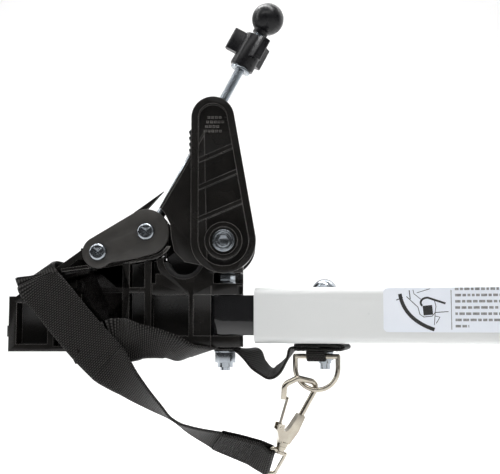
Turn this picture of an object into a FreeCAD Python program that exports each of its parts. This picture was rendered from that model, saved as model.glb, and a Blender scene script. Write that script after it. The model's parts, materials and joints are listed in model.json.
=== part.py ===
"""Clamp-on tow hitch of a bicycle trailer, with the front of its square tow bar and its safety strap.

Millimetres, +Z up. The origin is the cross pin at the rear of the tow bar, and the tow bar lies along X.
The hitch is drawn in its own frame: its origin is where the kingpin crosses the bar's centreline, x runs
towards the trailer and y away from the knob side. place_hitch puts it on the bar, turned by HITCH_TURN.
The parts of the bar are drawn with x measured back from the kingpin, and place_bar puts them in the row.
"""

import FreeCAD
import Part
import math
import os

# ---- driving dimensions -------------------------------------------------------------------------------
HITCH_TURN = 15.0        # degrees between the bar and the hitch as it stands
PIN_TO_KINGPIN = 214.0   # cross pin to kingpin, along the bar

BAR_SIZE = 31.75
BAR_WALL = 2.0
BAR_CORNER = 4.5
BAR_FRONT = 21.5         # front end of the tube, back from the kingpin
BAR_TAIL = 20.0          # tube behind the cross pin
PIN_HOLE = 8.2
BAR_BOLT_X = 59.6
LABEL_X = (95.0, 196.0)
LABEL_Z = (-9.2, 15.0)

BODY_HALF = 15.0         # half the width of the moulded jaw body
WALL = 3.0
SLOPE_START = (-121.0, 10.6)
SLOPE_END = (-35.7, 72.2)
BODY_BOTTOM = -20.6
LUG_TOP = (12.0, 18.4)
LUG_BOTTOM = (-18.1, -11.7)
LUG_END = 10.6
LUG_RADIUS = 16.6
CLEVIS_GAP = 4.5         # half the slot that the rod swings in

ROD_PIN = (-45.5, 48.1)
LINK_TAIL = (-73.0, 36.3)
LINK_PLATE = 2.5
BALL = (25.5, 180.6)
BALL_RADIUS = 9.7
ROD_RADIUS = 2.8
KNOB_NEAR = 13.8         # top of the knob nut, below the ball's centre
KNOB_FAR = 34.4          # bottom of the knob nut, below the ball's centre
KNOB_LOBE = 14.6

ARM_PIVOT = (-0.7, 42.8)
ARM_ROUND = 18.7
ARM_TIP = (-7.0, 114.4)
ARM_TIP_ROUND = 12.5
ARM_LOBE = [(-12.0, 106.7), (-37.5, 61.8), (-34.5, 58.6), (-31.3, 52.0), (-30.8, 45.0), (-29.0, 37.0),
            (-23.0, 30.5), (-10.0, 28.0)]
CHEEK = (15.6, 22.0)     # inner and outer face of each cheek of the arm
RIM = 4.2

SEAT = (-23.7, 32.8)
SEAT_RADIUS = 11.8

WEBBING = 25.4
WEB_THICK = 1.6

D_RING_X = 56.2
D_RING_Y = -8.2
D_WIRE = 1.4
HOOK_HEADING = 17.0      # degrees of the snap hook's axis from vertical
HOOK_TURN = 35.0         # turn of the hook's plane out of the D ring's plane
SWIVEL_LOW = (36.6, -72.6)
HOOK_Y = -10.8           # front to back place of the hook's axis
EYE_BAR = ((32.0, -16.4, -72.4), (22.4, 3.2, -91.1))   # bar the strap's end is sewn round


# ---- drawing helpers ----------------------------------------------------------------------------------
def at(x, z, y=0.0):
    return FreeCAD.Vector(x, y, z)


def plate(points, y0, y1):
    """A flat plate with its outline in the XZ plane, from y0 to y1."""
    wire = Part.makePolygon([at(x, z, y0) for x, z in points] + [at(*points[0], y0)])
    return Part.Face(wire).extrude(FreeCAD.Vector(0, y1 - y0, 0))


def drum(centre, radius, y0, y1):
    """A cylinder along Y."""
    return Part.makeCylinder(radius, y1 - y0, at(*centre, y0), FreeCAD.Vector(0, 1, 0))


def post(radius, z0, z1, x=0.0, y=0.0):
    """A cylinder along Z."""
    return Part.makeCylinder(radius, z1 - z0, at(x, z0, y))


def block(x, y, z):
    """A box between three pairs of limits."""
    return Part.makeBox(x[1] - x[0], y[1] - y[0], z[1] - z[0], at(x[0], z[0], y[0]))


def along(start, end, thick, y0, y1):
    """A rib of the given thickness whose centreline runs from start to end."""
    dx, dz = end[0] - start[0], end[1] - start[1]
    long = math.hypot(dx, dz)
    nx, nz = -dz / long * thick / 2, dx / long * thick / 2
    corners = [
        (start[0] + nx, start[1] + nz),
        (end[0] + nx, end[1] + nz),
        (end[0] - nx, end[1] - nz),
        (start[0] - nx, start[1] - nz),
    ]
    return plate(corners, y0, y1)


def tapered(big, big_r, small, small_r, y0, y1):
    """Two discs joined by their outer tangents."""
    dx, dz = small[0] - big[0], small[1] - big[1]
    long = math.hypot(dx, dz)
    heading = math.atan2(dz, dx)
    spread = math.acos((big_r - small_r) / long)
    corners = []
    for side in (1, -1):
        turn = heading + side * spread
        ends = [(big, big_r), (small, small_r)]
        corners += [
            (c[0] + r * math.cos(turn), c[1] + r * math.sin(turn)) for c, r in ends[::side]
        ]
    middle = plate(corners, y0, y1)
    return middle.fuse([drum(big, big_r, y0, y1), drum(small, small_r, y0, y1)]).removeSplitter()


def hexagon(across, low, high, x=0.0, y=0.0):
    """A hexagonal prism along Z."""
    r = across / math.sqrt(3)
    turns = [math.radians(60 * i + 30) for i in range(7)]
    points = [FreeCAD.Vector(x + r * math.sin(a), y + r * math.cos(a), low) for a in turns]
    return Part.Face(Part.makePolygon(points)).extrude(FreeCAD.Vector(0, 0, high - low))


def lying_hexagon(across, centre, y0, y1):
    """A hexagonal prism along Y."""
    r = across / math.sqrt(3)
    turns = [math.radians(60 * i) for i in range(6)]
    points = [(centre[0] + r * math.cos(a), centre[1] + r * math.sin(a)) for a in turns]
    return plate(points, y0, y1)


def ribbon(stations, thick=WEB_THICK):
    """Webbing through stations (centre, direction across, width), as a closed shell of flat faces."""
    rings = []
    for i, (centre, across, width) in enumerate(stations):
        here = FreeCAD.Vector(*centre)
        before = FreeCAD.Vector(*stations[max(i - 1, 0)][0])
        after = FreeCAD.Vector(*stations[min(i + 1, len(stations) - 1)][0])
        side = FreeCAD.Vector(*across).normalize()
        normal = (after - before).cross(side).normalize()
        side_half, thick_half = side * (width / 2), normal * (thick / 2)
        rings.append([
            here + side_half + thick_half,
            here + side_half - thick_half,
            here - side_half - thick_half,
            here - side_half + thick_half,
        ])
    corners = [rings[0][::-1], rings[-1]]
    for ring, following in zip(rings, rings[1:]):
        for i in range(4):
            j = (i + 1) % 4
            corners += [[ring[i], ring[j], following[j]], [ring[i], following[j], following[i]]]
    faces = [Part.Face(Part.makePolygon(c + c[:1])) for c in corners]
    solid = Part.makeSolid(Part.makeShell(faces))
    return solid if solid.Volume > 0 else solid.reversed()


def wire_path(points, radius, bend):
    """Round wire along straight runs joined by arcs of one radius."""
    spots = [FreeCAD.Vector(*p) for p in points]
    edges, last = [], spots[0]
    for before, here, after in zip(spots, spots[1:], spots[2:]):
        to_a, to_b = (before - here).normalize(), (after - here).normalize()
        half = to_a.getAngle(to_b) / 2
        cut = bend / math.tan(half)
        start, end = here + to_a * cut, here + to_b * cut
        middle = here + (to_a + to_b).normalize() * (bend / math.sin(half) - bend)
        edges += [Part.LineSegment(last, start).toShape(), Part.Arc(start, middle, end).toShape()]
        last = end
    edges.append(Part.LineSegment(last, spots[-1]).toShape())
    path = Part.Wire(edges)
    ring = Part.Wire(Part.Circle(spots[0], spots[1] - spots[0], radius).toShape())
    return path.makePipeShell([ring], True, False)


def slope_z(x):
    """Height of the body's long sloping top at x."""
    rise = (SLOPE_END[1] - SLOPE_START[1]) / (SLOPE_END[0] - SLOPE_START[0])
    return SLOPE_START[1] + rise * (x - SLOPE_START[0])


# ---- the moulded jaw body -----------------------------------------------------------------------------
def jaw_body():
    b = BODY_HALF
    web = plate(
        [SLOPE_START, (-51.0, 61.0), (-36.0, 56.0), (-14.0, 42.0), (LUG_END, 42.0), (LUG_END, 18.0),
         (-18.0, 12.0), (-18.0, -18.0), (-41.0, -18.0), (-43.0, BODY_BOTTOM), (-121.0, BODY_BOTTOM)],
        -2.0, 2.0,
    )
    frames = [
        along((-121.5, slope_z(-121.5) - 2.2), (-51.0, slope_z(-51.0) - 2.2), 3.4, -b, b),
        plate([(-53.0, slope_z(-53.0)), SLOPE_END, (-44.0, 62.8), (-53.0, 55.0)], -b, 3.0 - b),
        along((-84.0, 14.6), (-44.0, 14.6), WALL, -b, b),
        along((-99.0, -19.1), (-42.0, -19.1), WALL, -b, b),
        along((-95.5, 24.5), (-46.0, 33.0), WALL, -b, b),
        along((-57.1, BODY_BOTTOM), (-57.1, 33.0), 4.0, -b, b),
        along((-44.4, BODY_BOTTOM), (-44.4, 31.0), 4.0, -b, b),
        along((-19.4, LUG_BOTTOM[0]), (-19.4, LUG_TOP[1]), 2.6, -b, b),
        along((-84.0, BODY_BOTTOM), (-84.0, slope_z(-84.0) - 3), 3.0, -b, b),
        along((-82.0, slope_z(-82.0)), (-84.0, 14.6), 3.0, -b, b),
    ]
    pocket = block((-124.3, -98.4), (-b, b), (BODY_BOTTOM, 11.0))
    pocket = pocket.cut(block((-119.8, -101.9), (-b - 1, b - 3), (-16.4, 7.4)))
    pocket = pocket.fuse(block((-127.5, -123.0), (-6.0, 6.0), (-12.3, -5.8)))
    seat = drum(SEAT, SEAT_RADIUS + 4.0, -b, b).cut(
        block((-60.0, 20.0), (-b - 1, b + 1), (SEAT[1], 60.0))
    )
    seat = seat.fuse(block((-40.0, 8.0), (-b, b), (17.0, 24.0)))
    arc_boss = drum(ROD_PIN, 16.4, -b, b).cut(block((-80.0, 0.0), (-b - 1, b + 1), (52.0, 90.0)))
    arc_boss = arc_boss.fuse(drum(ROD_PIN, 13.4, -b, b))
    curl = drum(ROD_PIN, 16.4, -b - 1.2, -b).cut(drum(ROD_PIN, 14.4, -b - 2, b))
    curl = curl.cut(block((-80.0, ROD_PIN[0] - 1.6), (-b - 2, b), (0.0, 90.0)))
    curl = curl.cut(block((-80.0, 0.0), (-b - 2, b), (40.0, 90.0)))
    curl = curl.fuse(along((-94.5, 25.9), (-47.0, 32.7), 2.0, -b - 1.2, -b))
    curl = curl.cut(tapered(ROD_PIN, 13.9, LINK_TAIL, 9.8, -b - 2, -b))
    rear_wall = block((-36.0, -10.0), (b - 3.5, b), (18.0, 54.0))
    king_wall = block((-20.7, -7.0), (-b + 3, b - 3), (LUG_BOTTOM[0], LUG_TOP[1]))
    tail_boss = drum(LINK_TAIL, 9.0, -b, b)
    pivot_boss = drum(ARM_PIVOT, 15.5, -b, b)
    upright = block((-13.0, LUG_END), (-b, b), (17.0, 42.0))
    lug = post(LUG_RADIUS, LUG_BOTTOM[0], LUG_TOP[1]).common(
        block((-20.0, LUG_END), (-b, b), (-30.0, 30.0))
    )
    lug = lug.fuse(block((-42.0, -8.0), (-b, b), (LUG_BOTTOM[0], LUG_TOP[1])))
    between = (LUG_BOTTOM[1], LUG_TOP[0])
    lug = lug.cut(block((-60.0, 20.0), (-b - 1, b + 1), between))
    body = web.fuse(
        frames + [pocket, seat, arc_boss, curl, tail_boss, pivot_boss, upright, lug, king_wall]
    )
    body = body.cut(post(13.6, *between).fuse(block((-8.0, 20.0), (-b - 1, b + 1), between)))
    slot = plate(
        [(-80.0, 44.0), (-60.0, 40.0), (-52.0, 33.5), (-36.0, 33.5), (-20.0, 52.0),
         (-20.0, 90.0), (-80.0, 90.0)],
        -CLEVIS_GAP, CLEVIS_GAP,
    )
    holes = [
        slot,
        drum(SEAT, SEAT_RADIUS, -b - 1, b + 1),
        block((SEAT[0] - SEAT_RADIUS, SEAT[0] + SEAT_RADIUS), (-b - 1, b + 1), (SEAT[1], 70.0)),
        drum(ROD_PIN, 2.55, -b - 1, b + 1),
        drum(LINK_TAIL, 2.55, -b - 1, b + 1),
        drum(ARM_PIVOT, 4.05, -b - 1, b + 1),
        post(3.05, -40.0, 40.0).common(block((-5, 5), (-5, 5), (-30.0, LUG_TOP[1] + 0.1))),
        block((-6.5, 6.5), (-6.5, 6.5), (LUG_TOP[1], 24.6)),
        block((-6.5, LUG_END + 1), (-b - 1, 6.5), (LUG_TOP[1], 24.6)),
    ]
    return body.cut(Part.makeCompound(holes)).fuse(rear_wall).cut(
        Part.makeCompound([drum(ARM_PIVOT, 4.05, -b - 1, b + 1)])
    ).removeSplitter()


def seat_pad():
    """Rubber liner in the round seat that the bicycle's stay lies in."""
    front, rear = 1.0 - BODY_HALF, BODY_HALF - 3.6
    ring = drum(SEAT, SEAT_RADIUS - 0.05, front, rear).cut(drum(SEAT, SEAT_RADIUS - 2.4, -30, 30))
    return ring.cut(block((-60.0, 20.0), (-30, 30), (SEAT[1] - 2.0, 60.0)))


def link_plate(side):
    y = sorted([side * (BODY_HALF + 0.02), side * (BODY_HALF + LINK_PLATE)])
    body = tapered(ROD_PIN, 13.3, LINK_TAIL, 9.2, *y)
    body = body.cut(plate([(-75.0, 24.0), (-46.0, 24.0), (-46.0, 33.6), (-66.0, 30.2)], y[0] - 1, y[1] + 1))
    return body.cut(drum(ROD_PIN, 2.55, y[0] - 1, y[1] + 1)).cut(
        drum(LINK_TAIL, 2.55, y[0] - 1, y[1] + 1)
    )


def link_screw(centre):
    """Pan-head cross-recess screw through both link plates."""
    face = BODY_HALF + LINK_PLATE
    head = drum(centre, 5.0, -face - 3.1, -face)
    head = head.makeFillet(1.6, [e for e in head.Edges if abs(e.CenterOfMass.y + face + 3.1) < 0.01])
    x, z = centre
    cross = along((x - 2.4, z - 2.4), (x + 2.4, z + 2.4), 1.2, -30, -face - 1.4)
    cross = cross.fuse(
        along((centre[0] - 2.4, centre[1] + 2.4), (centre[0] + 2.4, centre[1] - 2.4), 1.2, -30, -face - 1.4)
    )
    return head.fuse(drum(centre, 2.5, -face, face + 5.5)).cut(cross)


def link_nut(centre):
    face = BODY_HALF + LINK_PLATE
    return lying_hexagon(8.0, centre, face + 0.02, face + 4.4).cut(drum(centre, 2.5, face - 1, face + 6))


# ---- eye rod, knob nut and ball -----------------------------------------------------------------------
def rod_axis():
    return FreeCAD.Vector(BALL[0] - ROD_PIN[0], 0, BALL[1] - ROD_PIN[1]).normalize()


def rod_spot(below_ball):
    """The point on the rod's axis at a distance below the ball's centre."""
    return at(*BALL) - rod_axis() * below_ball


def on_rod(radius, near, far):
    """A cylinder round the rod's axis between two distances below the ball's centre."""
    return Part.makeCylinder(radius, far - near, rod_spot(far), rod_axis())


def eye_rod():
    long = (at(*BALL) - at(*ROD_PIN)).Length
    shank = on_rod(ROD_RADIUS, 3.0, long)
    eye = drum(ROD_PIN, 7.0, -4.0, 4.0)
    return shank.fuse(eye).cut(drum(ROD_PIN, 3.55, -5, 5)).removeSplitter()


def rod_sleeve():
    return drum(ROD_PIN, 3.5, -CLEVIS_GAP, CLEVIS_GAP).cut(drum(ROD_PIN, 2.52, -6, 6))


def ball_knob():
    ball = Part.makeSphere(BALL_RADIUS, at(*BALL))
    neck = on_rod(4.6, 7.0, 10.9)
    return ball.fuse(neck).cut(on_rod(ROD_RADIUS + 0.02, 2.98, 20.0)).removeSplitter()


def knob_nut():
    hub = on_rod(7.4, KNOB_NEAR, KNOB_FAR)
    lobes = []
    for turn in (0, 120, 240):
        axis = rod_axis()
        out = FreeCAD.Rotation(axis, turn).multVec(axis.cross(FreeCAD.Vector(0, -1, 0)).normalize())
        out = -out
        side = axis.cross(out)
        base = rod_spot(27.8)
        half = 2.9
        corners = [base + side * half, base + side * half + out * KNOB_LOBE,
                   base - side * half + out * KNOB_LOBE, base - side * half]
        face = Part.Face(Part.makePolygon(corners + corners[:1]))
        lobe = face.extrude(axis * 13.4)
        tips = [e for e in lobe.Edges
                if abs((e.CenterOfMass - base).dot(out) - KNOB_LOBE) < 0.01
                and abs(e.tangentAt(e.FirstParameter).dot(axis)) > 0.9]
        lobes.append(lobe.makeFillet(1.8, tips))
    body = hub.fuse(lobes).removeSplitter()
    return body.cut(on_rod(4.5, KNOB_NEAR - 1, KNOB_FAR + 1))


def knob_insert():
    ring = on_rod(4.48, KNOB_NEAR + 0.6, KNOB_FAR + 0.6)
    return ring.cut(on_rod(ROD_RADIUS + 0.2, KNOB_NEAR - 2, KNOB_FAR + 3))


def thrust_washer():
    ring = on_rod(6.2, KNOB_FAR + 0.7, KNOB_FAR + 2.1)
    return ring.cut(on_rod(ROD_RADIUS + 0.2, KNOB_FAR, KNOB_FAR + 3))


# ---- clamp arm ----------------------------------------------------------------------------------------
def arm_outline(inset, y0, y1):
    return tapered(ARM_PIVOT, ARM_ROUND - inset, ARM_TIP, ARM_TIP_ROUND - inset, y0, y1)


def clamp_arm():
    inner, outer = CHEEK
    front = arm_outline(0.0, -outer, -inner)
    front = front.cut(arm_outline(RIM, -outer - 1, -outer + 3.2))
    bars = []
    for start, end in (((-17.5, 88.4), (7.0, 99.1)), ((-18.0, 72.2), (10.0, 84.3)),
                       ((-18.5, 53.6), (12.0, 66.5))):
        bars.append(along(start, end, 2.7, -outer + 0.5, -inner))
    boss = drum(ARM_PIVOT, 10.8, -outer + 0.6, -inner)
    front = front.fuse([b.common(arm_outline(1.0, -outer, -inner)) for b in bars] + [boss])
    rear = arm_outline(0.0, inner, outer)
    lobes = []
    for y0, y1 in ((2.0 - outer, 4.1 - outer), (outer - 4.1, outer - 2.0)):
        lobe = plate(ARM_LOBE, y0, y1)
        lobes.append(lobe)
        lobes.append(along(ARM_LOBE[1], ARM_LOBE[0], 2.4, y0 - 0.7, y1).common(plate(ARM_LOBE, -30, 30)))
    rear = rear.fuse(lobes)
    span = arm_outline(0.0, -inner - 0.5, inner + 0.5).cut(arm_outline(RIM, -inner - 2, inner + 2))
    left_and_low = block((-40.0, 30.0), (-30, 30), (0.0, 66.0)).fuse(
        plate([(-40.0, 60.0), (-6.0, 60.0), (-6.0, 112.0), (-16.0, 130.0), (-40.0, 130.0)], -30, 30)
    )
    span = span.cut(left_and_low)
    span = span.cut(plate([(-30.0, 105.0), (6.0, 105.0), (12.0, 140.0), (-30.0, 140.0)], -4.2, 4.2))
    arm = front.fuse([rear, span]).removeSplitter()
    holes = [
        drum(ARM_PIVOT, 4.05, -30, 30),
        drum(ARM_PIVOT, 8.0, -outer - 1, -outer + 1.9),
        drum(ARM_PIVOT, 8.0, outer - 1.9, outer + 1),
    ]
    return arm.cut(Part.makeCompound(holes))


def arm_grip():
    """Serrated rubber face on the arm's closing side, in two halves with the rod's slot between."""
    halves = []
    for side in (-1, 1):
        y = sorted([side * (CLEVIS_GAP + 0.5), side * (CHEEK[0] - 0.02)])
        left = ARM_TIP[0] - ARM_TIP_ROUND
        pad = block((left - 0.4, left + 4.0), y, (58.0, 112.0))
        teeth = [
            plate([(left - 0.4, z), (left - 1.9, z + 1.6), (left - 0.4, z + 3.2)], *y)
            for z in [59.0 + 3.6 * i for i in range(14)]
        ]
        halves.append(pad.fuse(teeth).removeSplitter())
    return Part.makeCompound(halves)


def arm_bolt():
    outer = CHEEK[1]
    head = drum(ARM_PIVOT, 5.7, -outer - 1.6, -outer + 1.2)
    groove = drum(ARM_PIVOT, 4.9, -30, -outer - 1.0).cut(drum(ARM_PIVOT, 3.9, -30, 0))
    socket = lying_hexagon(5.0, ARM_PIVOT, -30, -outer + 0.6)
    return head.fuse(drum(ARM_PIVOT, 3.0, -outer + 1.2, outer + 3.6)).cut(groove).cut(socket)


def arm_bolt_washer():
    outer = CHEEK[1]
    return drum(ARM_PIVOT, 6.4, 1.22 - outer, 1.88 - outer).cut(drum(ARM_PIVOT, 3.05, -30, 0))


def arm_sleeve():
    half = CHEEK[1] - 1.95
    return drum(ARM_PIVOT, 4.0, -half, half).cut(drum(ARM_PIVOT, 3.02, -30, 30))


def arm_nut():
    outer = CHEEK[1]
    return lying_hexagon(10.0, ARM_PIVOT, outer - 1.85, outer + 3.4).cut(drum(ARM_PIVOT, 3.0, 0, 30))


# ---- kingpin ------------------------------------------------------------------------------------------
def kingpin():
    head = hexagon(10.2, 19.7, 23.9)
    return head.fuse(post(3.0, -32.0, 19.7))


def washer(radius, hole, z0, z1, x=0.0):
    return post(radius, z0, z1, x).cut(post(hole, z0 - 1, z1 + 1, x))


def lock_nut(across, z_low, z_high, collar, x=0.0, hole=3.0):
    nut = hexagon(across, z_low + collar, z_high, x).fuse(post(across / 2 - 0.6, z_low, z_high, x))
    return nut.cut(post(hole, z_low - 1, z_high + 1, x))


# ---- tow bar and flexible coupling --------------------------------------------------------------------
def rounded_square(size, corner, x0, x1):
    bar = block((x0, x1), (-size / 2, size / 2), (-size / 2, size / 2))
    long = [e for e in bar.Edges if abs(e.tangentAt(e.FirstParameter).x) > 0.9]
    return bar.makeFillet(corner, long)


def tow_bar():
    rear = PIN_TO_KINGPIN + BAR_TAIL
    tube = rounded_square(BAR_SIZE, BAR_CORNER, BAR_FRONT, rear)
    inside = rounded_square(BAR_SIZE - 2 * BAR_WALL, BAR_CORNER - BAR_WALL, BAR_FRONT - 1, rear + 1)
    tube = tube.cut(inside)
    return tube.cut(post(3.05, -30, 30, BAR_BOLT_X)).cut(
        drum((PIN_TO_KINGPIN, 0.0), PIN_HOLE / 2, -30, 30)
    )


def bar_label():
    y = -BAR_SIZE / 2
    label = block(LABEL_X, (y - 0.25, y - 0.02), LABEL_Z)
    corners = [e for e in label.Edges if abs(e.tangentAt(e.FirstParameter).y) > 0.9]
    return label.makeFillet(2.5, corners)


def flex_coupling():
    """Urethane coupling: an eye round the kingpin, a waist, and a square plug inside the bar."""
    low, high = LUG_BOTTOM[1] + 0.3, LUG_TOP[0] - 0.3
    eye = post(12.4, low, high)
    waist = block((0.0, 26.0), (-10.5, 10.5), (low, high))
    plug = rounded_square(BAR_SIZE - 2 * BAR_WALL - 0.1, 2.4, 22.0, BAR_BOLT_X + 12.0)
    return eye.fuse([waist, plug]).cut(post(4.55, -30, 30)).cut(post(3.05, -30, 30, BAR_BOLT_X))


def coupling_sleeve():
    return washer(4.5, 3.05, LUG_BOTTOM[1] + 0.1, LUG_TOP[0] - 0.1)


def bar_bolt():
    top = BAR_SIZE / 2
    dome = Part.makeSphere(7.4, at(BAR_BOLT_X, top - 2.3)).common(post(6.9, top, top + 8, BAR_BOLT_X))
    return dome.fuse(post(3.0, -30.5, top, BAR_BOLT_X))


# ---- strap and its hardware ---------------------------------------------------------------------------
def strap_tab():
    """Two layers of webbing under the bar, clamped by its bolt, with the loop that holds the D ring."""
    top = -BAR_SIZE / 2 - 0.05
    layers = block((43.6, 73.0), (-12.7, 12.7), (top - 4.2, top))
    loop = block((D_RING_X - 6.0, D_RING_X + 6.0), (D_RING_Y - 3.2, D_RING_Y + 3.2), (-25.4, top))
    bar_hole = Part.makeCylinder(D_WIRE + 0.2, 40, at(D_RING_X - 20, -23.0, D_RING_Y), at(1, 0))
    slit = block((D_RING_X - 20, D_RING_X + 20), (D_RING_Y - 1.6, D_RING_Y + 1.6), (-23.0, -20.2))
    tab = layers.fuse(loop).cut(bar_hole).cut(slit)
    return tab.cut(post(3.1, -40, 0, BAR_BOLT_X)).removeSplitter()


def d_ring():
    left, right, top = D_RING_X - 12.2, D_RING_X + 12.2, -23.0
    y = D_RING_Y
    bar = Part.makeCylinder(D_WIRE, right - left, at(left, top, y), at(1, 0))
    side_z = -30.0
    bow = Part.Arc(at(left, side_z, y), at(D_RING_X, -41.8, y), at(right, side_z, y)).toShape()
    sides = [Part.LineSegment(at(left, top, y), at(left, side_z, y)).toShape(), bow,
             Part.LineSegment(at(right, side_z, y), at(right, top, y)).toShape()]
    ring = Part.Wire(Part.Circle(at(left, top, y), at(0, -1), D_WIRE).toShape())
    bent = Part.Wire(sides).makePipeShell([ring], True, False)
    knees = [Part.makeSphere(D_WIRE, at(x, top, y)) for x in (left, right)]
    return bar.fuse([bent] + knees).removeSplitter()


def hook_axis():
    turn = math.radians(HOOK_HEADING)
    return FreeCAD.Vector(math.sin(turn), 0, math.cos(turn))


def hook_side(turn=0.0):
    """The direction across the snap hook, in the D ring's plane or turned out of it about the axis."""
    axis = hook_axis()
    return FreeCAD.Rotation(axis, turn).multVec(FreeCAD.Vector(axis.z, 0, -axis.x))


def on_hook(along_axis, across=0.0, turn=0.0):
    """A point along and across the snap hook's axis, from the swivel's lower face."""
    return at(*SWIVEL_LOW, HOOK_Y) + hook_axis() * along_axis + hook_side(turn) * across


GATE_PIVOT = (9.8, -4.6)
HOOK_PLATE = [(1.4, -2.9), (8.4, -6.4), (8.4, -0.4), (10.4, 0.9), (19.4, 4.0), (18.9, 8.2), (9.6, 6.7),
              (1.4, 3.4)]
HOOK_BEND = [(15.6, 5.4), (38.8, 11.2), (38.7, -2.2), (33.4, -9.0), (25.4, -6.9)]


def gate_axis():
    return hook_axis().cross(hook_side(HOOK_TURN)).normalize()


def gate_pin(radius, half):
    pivot = on_hook(*GATE_PIVOT, HOOK_TURN)
    return Part.makeCylinder(radius, 2 * half, pivot - gate_axis() * half, gate_axis())


def hook_plate(spots, half):
    """A plate in the hook's plane from spots along and across its axis."""
    corners = [on_hook(*s, HOOK_TURN) - gate_axis() * half for s in spots]
    return Part.Face(Part.makePolygon(corners + corners[:1])).extrude(gate_axis() * (2 * half))


def hook_box(along_limits, across_limits, half):
    low, high = along_limits
    left, right = across_limits
    return hook_plate([(low, left), (high, left), (high, right), (low, right)], half)


def snap_body():
    collar = Part.makeCylinder(3.3, 2.4, on_hook(-0.3), hook_axis())
    ears = hook_box((8.0, 11.8), (-6.6, -2.6), 2.9)
    rod = wire_path([on_hook(*s, HOOK_TURN) for s in HOOK_BEND], 1.65, 4.0)
    gate_room = hook_box((8.3, 14.0), (-9.0, -2.6), 1.75)
    stem_room = Part.makeCylinder(1.75, 7.0, on_hook(-0.5), hook_axis())
    body = hook_plate(HOOK_PLATE, 2.3).fuse([collar, ears, rod])
    return body.cut(gate_room).cut(stem_room).cut(gate_pin(0.82, 5.0)).removeSplitter()


def snap_gate():
    leaf = hook_box((9.8, 27.0), (-5.15, -4.45), 1.5)
    knuckle = gate_pin(1.35, 1.5)
    return leaf.fuse(knuckle).cut(gate_pin(0.87, 5.0)).removeSplitter()


def gate_rivet():
    return gate_pin(0.8, 3.2)


def swivel_eye():
    """Swivel post with the bent eye that the strap's sewn end is looped round."""
    rings = [
        Part.makeCylinder(radius, high - low, on_hook(low), hook_axis())
        for radius, low, high in ((1.65, -5.0, 5.5), (2.9, -2.2, -0.5), (2.1, -3.6, -2.0), (2.7, -5.0, -3.4))
    ]
    top, foot = (FreeCAD.Vector(*end) for end in EYE_BAR)
    loop = [on_hook(-4.4, -0.6), top, foot, FreeCAD.Vector(28.5, 6.5, -91.0),
            FreeCAD.Vector(38.6, -10.0, -77.4), on_hook(-4.4, 0.6)]
    return rings[0].fuse(rings[1:] + [wire_path(loop, 1.2, 1.5)]).removeSplitter()


Y_WIDE = (0, 1, 0)

WRAP_ROUTE = [
    ((-65.6, -17.3, -15.2), (-0.35, 0, 0.94)),
    ((-70.4, -17.6, -18.8), (-0.88, 0, 0.47)),
    ((-72.0, -16.8, -22.2), (-1, 0, 0.05)),
    ((-73.6, -12.5, -23.4), (-1, 0, 0)),
    ((-79.2, 12.5, -23.4), (-1, 0, 0)),
    ((-81.0, 16.8, -22.2), (-1, 0, -0.1)),
    ((-83.2, 17.7, -18.6), (-0.93, 0, -0.36)),
    ((-92.0, 17.4, -4.0), (-0.86, 0, -0.5)),
    ((-102.5, 17.3, 12.5), (-0.83, 0, -0.56)),
    ((-106.8, 16.9, 21.6), (-0.811, 0, -0.585)),
    ((-107.4, 13.0, 24.2), (-0.811, 0, -0.585)),
    ((-108.2, -13.0, 24.2), (-0.811, 0, -0.585)),
    ((-108.1, -17.0, 21.6), (-0.811, 0, -0.585)),
    ((-106.2, -18.4, 17.8), (-0.79, 0, -0.61)),
    ((-99.0, -19.1, 9.8), (-0.78, 0, -0.62)),
    ((-89.9, -19.3, -1.2), (-0.77, 0, -0.64)),
    ((-82.0, -19.5, -10.4), (-0.745, 0, -0.665)),
    ((-74.8, -19.8, -18.2), (-0.72, 0, -0.69)),
    ((-66.6, -20.4, -26.4), (-0.70, 0.08, -0.71)),
]
TAIL_ROUTE = [
    ((-66.5, -20.4, -26.5), (0.70, -0.08, 0.71)),
    ((-60.7, -21.0, -32.1), (0.62, -0.42, 0.66)),
    ((-54.0, -21.2, -38.3), (0.50, -0.68, 0.54)),
    ((-46.8, -21.0, -44.6), (0.38, -0.82, 0.43)),
    ((-38.0, -20.7, -51.6), (0.22, -0.93, 0.28)),
    ((-28.7, -20.2, -58.7), (0.06, -0.99, 0.13)),
    ((-18.0, -19.4, -64.6), (0.10, -0.95, 0.28)),
    ((-4.1, -18.0, -70.0), (0.17, -0.84, 0.51)),
]
SEWN_ROUTE = [
    ((-4.0, -18.0, -70.05), (0.17, -0.84, 0.51)),
    ((6.0, -16.4, -73.5), (0.18, -0.79, 0.58)),
    ((17.0, -14.6, -77.5), (0.184, -0.74, 0.64)),
]
LOWER_ROUTE = [
    ((8.0, 0.0, -19.25), (0.1, -0.99, 0)),
    ((-7.4, -1.6, -19.3), (0.22, -0.97, 0)),
    ((-14.0, -7.5, -21.4), (0.34, -0.91, 0.16)),
    ((-22.0, -15.2, -21.6), (0.26, -0.88, 0.40)),
    ((-30.0, -19.6, -18.4), (0.14, -0.80, 0.58)),
    ((-38.0, -21.4, -16.2), (0.05, -0.72, 0.69)),
    ((-46.0, -21.8, -15.0), (0, -0.62, 0.78)),
    ((-52.0, -20.4, -14.4), (0, -0.40, 0.92)),
    ((-58.0, -18.3, -14.2), (0, -0.06, 1)),
    ((-64.2, -17.3, -14.6), (-0.2, 0, 0.98)),
]
SLACK_ROUTE = [
    ((8.12, 2.17, -19.25), (-0.353, 0.93, 0)),
    ((15.0, 0.6, -21.6), (0.15, 0.95, 0.18)),
    ((20.2, 0.0, -28.6), (0.0, 0.96, 0.24)),
    ((26.8, 0.0, -33.2), (-0.20, 0.96, 0.20)),
    ((32.6, 0.0, -31.2), (-0.20, 0.96, 0.18)),
    ((38.0, 0.0, -24.4), (-0.12, 0.98, 0.10)),
    ((40.8, 0.0, -19.4), (-0.04, 1, 0)),
    ((43.2, 0.0, -18.2), Y_WIDE),
]


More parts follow.
